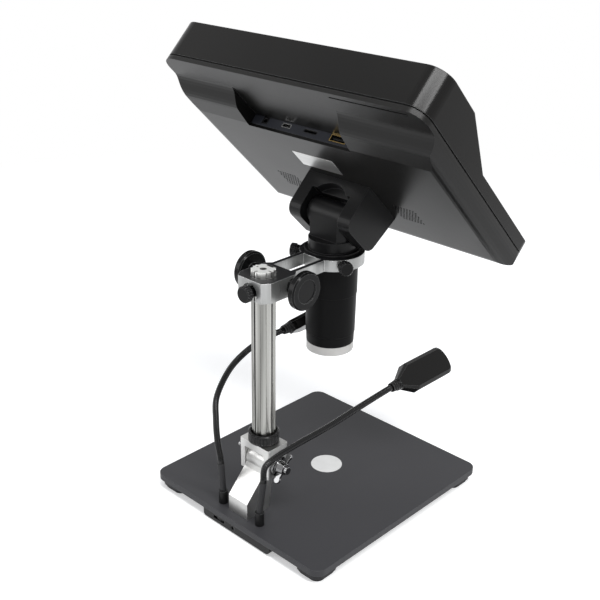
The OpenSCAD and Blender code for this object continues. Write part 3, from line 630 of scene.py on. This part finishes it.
@dataclass(frozen=True)
class DarkGlass:
    """The glossy face of a switched-off screen.

    Attributes:
        name: The material's name.
    """

    name: str

    def material(self) -> bpy.types.Material:
        """Return the material."""
        graph = Graph(self.name)
        haze = graph.noise(30.0, 2.0)
        return graph.principled(
            Base_Color=graph.shade((0.006, 0.007, 0.009), (0.010, 0.011, 0.014), haze),
            Roughness=0.07 + haze * 0.05,
            Coat_Weight=0.4,
        )


@dataclass(frozen=True)
class ClearGlass:
    """Ground and coated lens glass.

    Attributes:
        name: The material's name.
    """

    name: str

    def material(self) -> bpy.types.Material:
        """Return the material."""
        graph = Graph(self.name)
        smear = graph.noise(90.0, 2.0)
        return graph.principled(
            Base_Color=graph.shade((0.55, 0.62, 0.72), (0.66, 0.72, 0.80), smear),
            Roughness=0.02 + smear * 0.02,
            Transmission_Weight=0.9,
            IOR=1.52,
        )


@dataclass(frozen=True)
class CircuitBoard:
    """A circuit board under green solder mask, with tracks that show through.

    Attributes:
        name: The material's name.
    """

    name: str

    def material(self) -> bpy.types.Material:
        """Return the material."""
        graph = Graph(self.name)
        tracks = graph.node("ShaderNodeTexBrick", {}, {
            "Vector": graph.place(), "Scale": 260.0, "Mortar Size": 0.04, "Color1": (0.0, 0.0, 0.0),
            "Color2": (0.0, 0.0, 0.0), "Mortar": (1.0, 1.0, 1.0)}, output=1)
        return graph.principled(
            Base_Color=graph.shade((0.010, 0.070, 0.035), (0.030, 0.130, 0.060), tracks),
            Roughness=0.32 + tracks * 0.06,
            Normal=graph.bump(tracks, 0.00004),
        )


# ---------------------------------------------------------------- mesh helpers


def add_object(name: str, data: bpy.types.ID) -> bpy.types.Object:
    """Return a new object in the scene that shows the data."""
    made = bpy.data.objects.new(name, data)
    bpy.context.scene.collection.objects.link(made)
    return made


def new_piece(name: str, mesh: bmesh.types.BMesh, body: str,
              material: bpy.types.Material, smooth: bool = True) -> bpy.types.Object:
    """Turn a bmesh into a piece that rides on a body.

    Args:
        name: The piece's name.
        mesh: Its shape, in place; it is freed here.
        body: The body that carries it.
        material: Its material.
        smooth: Whether its faces are shaded smooth, up to sharp edges.

    Returns:
        The piece.
    """
    bmesh.ops.recalc_face_normals(mesh, faces=mesh.faces)
    data = bpy.data.meshes.new(name)
    mesh.to_mesh(data)
    mesh.free()
    piece = add_object(name, data)
    data.materials.append(material)
    if smooth:
        data.shade_smooth()
        data.set_sharp_from_angle(angle=SHARP_ANGLE)
    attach(piece, body)
    LOG.info("piece %s: %d faces, on %s", name, len(data.polygons), body)
    return piece


def catmull_rom(points: Sequence[Vector], steps: int, samples: int = 24) -> list[Vector]:
    """Return points along the smooth curve through a route, at even spacing.

    Args:
        points: The route's own points.
        steps: How many points to return, less one.
        samples: How many points to measure each leg of the route by.

    Returns:
        Points at equal distances along the curve.
    """
    ends = [2 * points[0] - points[1], *points, 2 * points[-1] - points[-2]]
    fine: list[Vector] = []
    for a, b, c, d in zip(ends, ends[1:], ends[2:], ends[3:]):
        for k in range(samples):
            t = k / samples
            fine.append(0.5 * (2 * b + (c - a) * t + (2 * a - 5 * b + 4 * c - d) * t * t
                               + (3 * b - a - 3 * c + d) * t * t * t))
    fine.append(points[-1].copy())
    runs = [0.0]
    for before, after in zip(fine, fine[1:]):
        runs.append(runs[-1] + (after - before).length)
    out, k = [], 0
    for i in range(steps + 1):
        want = runs[-1] * i / steps
        while k < len(runs) - 2 and runs[k + 1] < want:
            k += 1
        share = (want - runs[k]) / max(runs[k + 1] - runs[k], 1e-9)
        out.append(fine[k].lerp(fine[k + 1], min(share, 1.0)))
    return out


def paint(frame: dict[str, Any], material: bpy.types.Material, *nodes: str) -> None:
    """Give CAD nodes their material.

    Args:
        frame: The loaded frame.
        material: The material.
        *nodes: Names of the nodes.
    """
    for name in nodes:
        data = frame["nodes"][name].data
        data.materials.clear()
        data.materials.append(material)
        LOG.info("node %s: %s", name, material.name)


# ---------------------------------------------------------------- the object


def shared(finish: Any) -> Any:
    """Return a dataclass field that makes the finish's material when the palette is made."""
    return field(default_factory=finish.material)


@dataclass
class Palette:
    """The finishes that more than one sub-assembly shares."""

    housing: bpy.types.Material = shared(MouldedPlastic(
        "satin_housing", (0.0036, 0.0034, 0.0032), 0.21, 0.15, depth=0.000003, edge=0.0008, edge_wear_and_highlight=0.10))
    shell: bpy.types.Material = shared(MouldedPlastic(
        "satin_back_shell", (0.0040, 0.0038, 0.0036), 0.32, 0.20, depth=0.000003, edge=0.00025, edge_wear_and_highlight=0.10))
    barrel: bpy.types.Material = shared(MouldedPlastic(
        "dull_barrel", (0.0035, 0.0035, 0.0037), 0.42, 0.06, edge=0.0004))
    matte: bpy.types.Material = shared(MouldedPlastic(
        "matte_bracket", (0.0075, 0.0075, 0.0078), 0.36, 0.15, grain=1000.0, depth=0.00002, edge_wear_and_highlight=0.10))
    knob: bpy.types.Material = shared(MouldedPlastic(
        "black_knob", (0.0035, 0.0035, 0.0037), 0.20, 0.11, depth=0.000003, edge=0.0005, edge_wear_and_highlight=0.20))
    rubber: bpy.types.Material = shared(Rubber("black_rubber"))
    neck: bpy.types.Material = shared(Rubber("neck_rubber", (0.003, 0.003, 0.0032), 0.20, 0.28, 0.0))
    bright: bpy.types.Material = shared(WorkedMetal("bright_aluminium", (0.62, 0.62, 0.61), 0.34))
    steel: bpy.types.Material = shared(WorkedMetal("milled_steel", (0.50, 0.50, 0.49), 0.28, Axis.ALONG_X))
    chrome: bpy.types.Material = shared(WorkedMetal(
        "dark_chrome", (0.24, 0.24, 0.245), 0.14, depth=0.000004, edge_polish_and_highlight=0.6))
    brass: bpy.types.Material = shared(WorkedMetal("machined_brass", (0.80, 0.58, 0.24), 0.26, edge_polish_and_highlight=0.7))
    board: bpy.types.Material = shared(CircuitBoard("solder_mask"))
    diffuser: bpy.types.Material = shared(Diffuser("frosted_diffuser"))


@dataclass
class Base:
    """The stage plate with its feet, its lit window and the control box.

    Attributes:
        plate_colour: The colour of the plate's coating.
    """

    plate_colour: Colour = (0.034, 0.034, 0.037)

    def dress(self, frame: dict[str, Any], palette: Palette) -> None:
        """Paint the plate and everything that is fixed to it."""
        plate = PowderCoat("charcoal_powder_coat", self.plate_colour).material()
        paint(frame, plate, "base_plate")
        paint(frame, palette.rubber, "base_feet", "neck_sleeves")
        paint(frame, palette.matte, "control_box", "dimmer_wheel", "power_jack", "neck_sockets")
        paint(frame, Diffuser("stage_window_white", (0.72, 0.72, 0.71), 0.30).material(), "stage_window")
        paint(frame, palette.board, "stage_light_board")
        paint(frame, palette.bright, "foot_arm")
        paint(frame, palette.steel, "foot_screws")


@dataclass
class Stand:
    """The tilting yoke, the fluted column and the clamping hardware."""

    def dress(self, frame: dict[str, Any], palette: Palette) -> None:
        """Paint the yoke, the column and the nuts."""
        column = DrawnColumn("drawn_column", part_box("column")[1][2]).material()
        paint(frame, palette.bright, "yoke")
        paint(frame, column, "column")
        paint(frame, palette.steel, "rack", "column_screw")
        paint(frame, palette.chrome, "pivot_bolt", "wing_nut")
        paint(frame, palette.knob, "collar_nut")


@dataclass
class Carriage:
    """The focus arm with its ring, its knobs and its screws.

    Attributes:
        arm_top: Height of the arm's coated top face in metres.
    """

    arm_top: float = 0.1977

    def dress(self, frame: dict[str, Any], palette: Palette) -> None:
        """Paint the arm, the pinion shaft and the knobs."""
        paint(frame, BlackAndBright("cast_arm", self.arm_top).material(), "focus_arm")
        paint(frame, palette.steel, "focus_shaft")
        paint(frame, palette.brass, "focus_pinion")
        paint(frame, palette.knob, "focus_knob_left", "focus_knob_right", "lock_knob",
              "ring_screw_left", "ring_screw_right")


@dataclass
class Barrel:
    """The camera barrel, its light ring and the neck that carries the screen."""

    def dress(self, frame: dict[str, Any], palette: Palette) -> None:
        """Paint the barrel's shells and what they hold."""
        paint(frame, palette.barrel, "barrel_sleeve", "barrel_lower", "lens_cell")
        paint(frame, palette.matte, "scope_neck")
        paint(frame, palette.diffuser, "light_ring")
        paint(frame, ClearGlass("lens_glass_clear").material(), "lens_glass")
        paint(frame, palette.board, "light_board", "sensor_board")


@dataclass
class Monitor:
    """The hooded screen with its bracket, sockets, speakers and buttons.

    Attributes:
        label_size: The bare label plate's sides in millimetres.
        label_at: Its middle in the screen's own axes, in millimetres.
        tongue_length: Length of the tongues in the sockets, in millimetres.
        tongue_up: Their middle up the screen, in millimetres.
        socket_w: The sockets' middle through the screen, in millimetres.
        grilles: Middle of each speaker's grille across and up the screen, in millimetres.
        hole_rows: Rows of holes in a grille.
        hole_sides: How many sides each hole has.
        hole_pitch: Distance between holes in a row, in millimetres.
        row_pitch: Distance between rows, as a share of hole_pitch.
        back_face: The back's outer face through the screen, in millimetres.
        mouth: Radius and depth of each corner of a hole's rim, in millimetres.
    """

    label_size: Point = (41.0, 18.5, 0.3)
    label_at: Point = (10.5, 33.75, 22.87)
    tongue_length: float = 7.2
    tongue_up: float = 62.5
    socket_w: float = 30.4
    grilles: tuple[tuple[float, float], ...] = ((69.5, -14.0), (-52.0, -14.0))
    hole_rows: int = 8
    hole_sides: int = 6
    hole_pitch: float = 2.7
    row_pitch: float = 0.95
    back_face: float = 23.0
    mouth: tuple[tuple[float, float], ...] = ((1.02, 0.03), (1.02, -0.015), (0.735, -0.015), (0.735, 0.3))

    def dress(self, frame: dict[str, Any], palette: Palette) -> None:
        """Paint the housings, the screen and the sockets, and add what the sockets hold."""
        paint(frame, palette.shell, "back_cover")
        paint(frame, palette.housing, "front_frame", "speakers", *[f"button_{i}" for i in range(1, 6)])
        paint(frame, palette.matte, "bracket", "port_audio", "port_card")
        slate = MouldedPlastic("slate_port_strip", (0.030, 0.032, 0.040), 0.42, 0.3).material()
        paint(frame, slate, "port_strip")
        paint(frame, palette.steel, "tilt_pin")
        paint(frame, DarkGlass("screen_face").material(), "screen_glass")
        paint(frame, palette.knob, "lcd_panel")
        paint(frame, palette.board, "main_board")
        paint(frame, SocketShell("plated_socket", (0.42, 0.42, 0.42)).material(), "port_usb")
        paint(frame, SocketShell("gilded_socket", (0.52, 0.36, 0.14)).material(), "port_hdmi")
        self.label_place()
        self.tongue("usb_tongue", 25.4, 5.6, 0.8, palette.matte)
        self.tongue("hdmi_tongue", -26.0, 11.2, 1.3, palette.matte)
        for side, middle in zip(("left", "right"), self.grilles):
            self.grille(side, middle, palette)

    def grille(self, side: str, middle: tuple[float, float], palette: Palette) -> bpy.types.Object:
        """Build dark rims round the mouths of one speaker's holes, as painted shade at the mouths.

        Args:
            side: Which speaker it is.
            middle: The place of the grille's middle across and up the screen, in millimetres.
            palette: The shared finishes.

        Returns:
            The dark rims.
        """
        shape = bmesh.new()
        half = (self.hole_rows - 1) / 2
        for i in range(self.hole_rows):
            for j in range(self.hole_rows):
                across = middle[0] + (i - half + (j % 2) / 2 - 0.25) * self.hole_pitch
                up = middle[1] + (j - half) * self.hole_pitch * self.row_pitch
                place = SCREEN @ Matrix.Translation(Vector((across, up, self.back_face)) * MM)
                corners = [shape.verts.new(place @ (Vector((r, 0.0, w)) * MM)) for r, w in self.mouth]
                edges = [shape.edges.new(pair) for pair in zip(corners, corners[1:] + corners[:1])]
                bmesh.ops.spin(shape, geom=corners + edges, cent=place.translation, axis=place.col[2].to_3d(),
                               angle=2 * math.pi, steps=self.hole_sides, use_merge=True)
        # The dull dark rims and liners at the hole mouths are painted shade.
        return new_piece(f"grille_mouth_shade_{side}", shape, "monitor", palette.barrel,
                         smooth=False)

    def label_place(self) -> bpy.types.Object:
        """Build the bare plate that stands where the label is."""
        plate = self.slab(self.label_size, 0.9)
        place = SCREEN @ Matrix.Translation(Vector(self.label_at) * MM)
        bmesh.ops.transform(plate, matrix=place, verts=plate.verts)
        metal = WorkedMetal("bare_label_plate", (0.72, 0.72, 0.71), 0.38, Axis.ALONG_X, 1500.0, edge=0.0001)
        return new_piece("label_plate", plate, "monitor", metal.material())

    def tongue(self, name: str, across: float, width: float, thick: float,
               material: bpy.types.Material) -> bpy.types.Object:
        """Build the contact tongue inside a socket.

        Args:
            name: The piece's name.
            across: Its place across the screen in millimetres.
            width: Its width in millimetres.
            thick: Its thickness in millimetres.
            material: Its material.

        Returns:
            The tongue.
        """
        shape = self.slab((width, self.tongue_length, thick), 0.3)
        middle = Vector((across, self.tongue_up, self.socket_w)) * MM
        bmesh.ops.transform(shape, matrix=SCREEN @ Matrix.Translation(middle), verts=shape.verts)
        return new_piece(name, shape, "monitor", material)

    @staticmethod
    def slab(size: Point, corner: float) -> bmesh.types.BMesh:
        """Return a flat slab with rounded corners, centred.

        Args:
            size: Its sides in millimetres, the thickness last.
            corner: Radius of its corners in millimetres.

        Returns:
            The slab.
        """
        shape = bmesh.new()
        bmesh.ops.create_cube(shape, size=1.0)
        bmesh.ops.scale(shape, vec=Vector(size) * MM, verts=shape.verts)
        upright = [e for e in shape.edges if abs(e.verts[0].co.z - e.verts[1].co.z) > 1e-6]
        bmesh.ops.bevel(shape, geom=upright, offset=corner * MM, segments=4, profile=0.5, affect="EDGES",
                        material=-1)
        return shape


@dataclass
class Lamps:
    """The two lamp heads on their flexible necks.

    Attributes:
        neck_radius: Radius over the ribs in metres.
        rib_depth: Depth of the valleys between the ribs in metres.
        rib_pitch: Distance between ribs in metres.
        plain: How many points at each end of a neck have no ribs.
        left_route: Points of the left neck in millimetres.
        right_route: Points of the right neck in millimetres.
    """

    neck_radius: float = 2.6 * MM
    rib_depth: float = 0.42 * MM
    rib_pitch: float = 1.5 * MM
    plain: int = 8
    left_route: tuple[Point, ...] = (
        (21, 101.5, 38), (21, 102, 44.5), (21.5, 104, 60), (22, 104.5, 78), (24.5, 101, 96), (29, 84, 111),
        (34, 62, 117), (40, 36, 117.5), (43, 17, 116), (43, 11, 116))
    right_route: tuple[Point, ...] = (
        (-22, 96.5, 38), (-22.5, 95, 51), (-26, 87.5, 58), (-32, 69, 65), (-37, 42, 70), (-41, 12, 76),
        (-44, -21, 81), (-44, -27, 81))

    def dress(self, frame: dict[str, Any], palette: Palette) -> None:
        """Paint the heads and build both necks."""
        paint(frame, palette.housing, "lamp_left", "lamp_right")
        paint(frame, palette.diffuser, "lamp_lenses")
        self.neck("left", self.left_route, palette)
        self.neck("right", self.right_route, palette)

    def neck(self, side: str, route: Sequence[Point], palette: Palette) -> bpy.types.Object:
        """Build one flexible neck with its wound ribs.

        Args:
            side: Which neck it is.
            route: Its points in millimetres.
            palette: The shared finishes.

        Returns:
            The neck.
        """
        points = [Vector(p) * MM for p in route]
        length = sum((b - a).length for a, b in zip(points, points[1:]))
        ribs = round(length / self.rib_pitch)
        valleys = (0.0, 0.35, 1.0, 0.35)
        line = catmull_rom(points, ribs * len(valleys))
        curve = bpy.data.curves.new(f"neck_{side}_line", "CURVE")
        curve.dimensions = "3D"
        curve.bevel_depth = self.neck_radius
        curve.bevel_resolution = 4
        curve.use_fill_caps = True
        spline = curve.splines.new("POLY")
        spline.points.add(len(line) - 1)
        for i, (point, place) in enumerate(zip(spline.points, line)):
            point.co = (*place, 1.0)
            valley = 0.0 if min(i, len(line) - 1 - i) < self.plain else valleys[i % len(valleys)]
            point.radius = 1.0 - valley * self.rib_depth / self.neck_radius
        holder = add_object(f"neck_{side}_curve", curve)
        shape = bmesh.new()
        shape.from_mesh(holder.to_mesh())
        bpy.data.objects.remove(holder)
        bmesh.ops.remove_doubles(shape, verts=shape.verts, dist=1e-7)
        piece = new_piece(f"neck_{side}", shape, "base", palette.neck)
        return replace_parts(piece, f"flex_neck_{side}")


# ---------------------------------------------------------------- studio


@dataclass
class Studio:
    """The floor, the lights and the camera.

    Attributes:
        eye: The camera's place in metres.
        azimuth: Its direction round the object in degrees.
        elevation: Its direction above the horizon in degrees.
        roll: Its turn about its own axis in degrees.
        lens: Its focal length in millimetres.
        sensor: The width of its picture in millimetres.
        floor_radius: Radius of the floor in metres.
        floor_gap: How far the floor lies under the feet, in metres.
        floor_glow: Light that the floor adds where it is seen.
        fade_start: Distance from the object at which the floor begins to turn white, in metres.
        fade_length: Distance over which it does so, in metres.
        daylight: Strength of the light from around.
    """

    eye: Point = (-0.487244, 0.542746, 0.480979)
    azimuth: float = 223.848
    elevation: float = 24.187
    roll: float = 0.761
    lens: float = 60.21
    sensor: float = 36.0
    floor_radius: float = 9.0
    floor_gap: float = 0.2 * MM
    floor_glow: float = 0.42
    fade_start: float = 0.45
    fade_length: float = 0.6
    daylight: float = 0.42

    def build(self) -> None:
        """Build the whole studio."""
        self.floor(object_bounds()[0][2])
        self.world()
        self.light("key", (-1.1, 0.35, 1.85), (0.0, 0.0, 0.25), (2.1, 0.25), 46.0, (-1.46, -0.82, -0.81))
        self.light("top", (0.3, -0.2, 1.7), (0.0, 0.0, 0.2), (1.2, 1.2), 3.5)
        self.light("fill", (0.9, 1.0, 0.6), (0.0, 0.05, 0.15), (0.6, 0.6), 4.0)
        self.camera()

    def floor(self, height: float) -> None:
        """Lay a pale floor under the feet.

        Args:
            height: The floor's height.
        """
        shape = bmesh.new()
        bmesh.ops.create_circle(shape, cap_ends=True, segments=64, radius=self.floor_radius,
                                matrix=Matrix.Translation((0.0, 0.0, height - self.floor_gap)))
        data = bpy.data.meshes.new("studio_floor")
        shape.to_mesh(data)
        shape.free()
        floor = add_object("studio_floor", data)
        graph = Graph("studio_floor_white")
        seen = graph.seen()
        away = graph.node("ShaderNodeVectorMath", {"operation": "LENGTH"}, {0: graph.place()}, output="Value")
        diffuse = graph.node("ShaderNodeBsdfDiffuse", {}, {"Color": (0.85, 0.85, 0.85)})
        glow = graph.node("ShaderNodeEmission", {}, {"Color": WHITE, "Strength": seen * self.floor_glow})
        near = graph.node("ShaderNodeAddShader", {}, {0: diffuse, 1: glow})
        white = graph.node("ShaderNodeEmission", {}, {"Color": WHITE, "Strength": 1.0})
        fade = ((away - self.fade_start) / self.fade_length).unit() * seen
        both = graph.node("ShaderNodeMixShader", {}, {0: fade, 1: near, 2: white})
        graph.node("ShaderNodeOutputMaterial", {}, {"Surface": both})
        data.materials.append(graph.material)
        floor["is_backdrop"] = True

    def world(self) -> None:
        """Surround the scene with pale light that is seen as white."""
        world = bpy.data.worlds.new("studio_world")
        bpy.context.scene.world = world
        graph = Graph("studio_world", world)
        dim = graph.node("ShaderNodeBackground", {}, {"Color": (0.92, 0.95, 1.0), "Strength": self.daylight})
        white = graph.node("ShaderNodeBackground", {}, {"Color": WHITE, "Strength": 1.0})
        both = graph.node("ShaderNodeMixShader", {}, {0: graph.seen(), 1: dim, 2: white})
        graph.node("ShaderNodeOutputWorld", {}, {"Surface": both})

    @staticmethod
    def light(name: str, place: Point, target: Point, size: tuple[float, float], power: float,
              along: Point = (1.0, 0.0, 0.0)) -> None:
        """Hang one soft box.

        Args:
            name: Its name.
            place: Where it hangs.
            target: The point that it faces.
            size: The lengths of its long and short sides.
            power: Its power in watts.
            along: The direction of its long side.
        """
        data = bpy.data.lights.new(f"light_{name}", "AREA")
        data.shape, data.size, data.size_y, data.energy = "RECTANGLE", *size, power
        lamp = add_object(f"light_{name}", data)
        back = (Vector(place) - Vector(target)).normalized()
        side = (Vector(along) - Vector(along).dot(back) * back).normalized()
        turned = Matrix((side, back.cross(side), back)).transposed().to_4x4()
        lamp.matrix_world = Matrix.Translation(place) @ turned

    def camera(self) -> None:
        """Set the camera where the photograph was taken from."""
        data = bpy.data.cameras.new("photo_camera")
        data.lens, data.sensor_width, data.clip_start = self.lens, self.sensor, 0.01
        camera = add_object("photo_camera", data)
        a, e, r = (math.radians(v) for v in (self.azimuth, self.elevation, self.roll))
        back = Vector((math.sin(a) * math.cos(e), -math.cos(a) * math.cos(e), math.sin(e)))
        right = Vector((math.cos(a), math.sin(a), 0.0))
        up = back.cross(right)
        turned_right = math.cos(r) * right + math.sin(r) * up
        turned_up = -math.sin(r) * right + math.cos(r) * up
        turned = Matrix((turned_right, turned_up, back)).transposed().to_4x4()
        camera.matrix_world = Matrix.Translation(self.eye) @ turned
        bpy.context.scene.camera = camera


def main() -> None:
    """Load the frame, dress it and light it."""
    logging.basicConfig(level=logging.INFO, format="%(message)s")
    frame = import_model()
    bpy.context.scene.view_settings.view_transform = "Standard"
    palette = Palette()
    for assembly in (Base(), Stand(), Carriage(), Barrel(), Monitor(), Lamps()):
        assembly.dress(frame, palette)
        LOG.info("dressed %s", type(assembly).__name__)
    Studio().build()


if __name__ == "__main__":
    main()
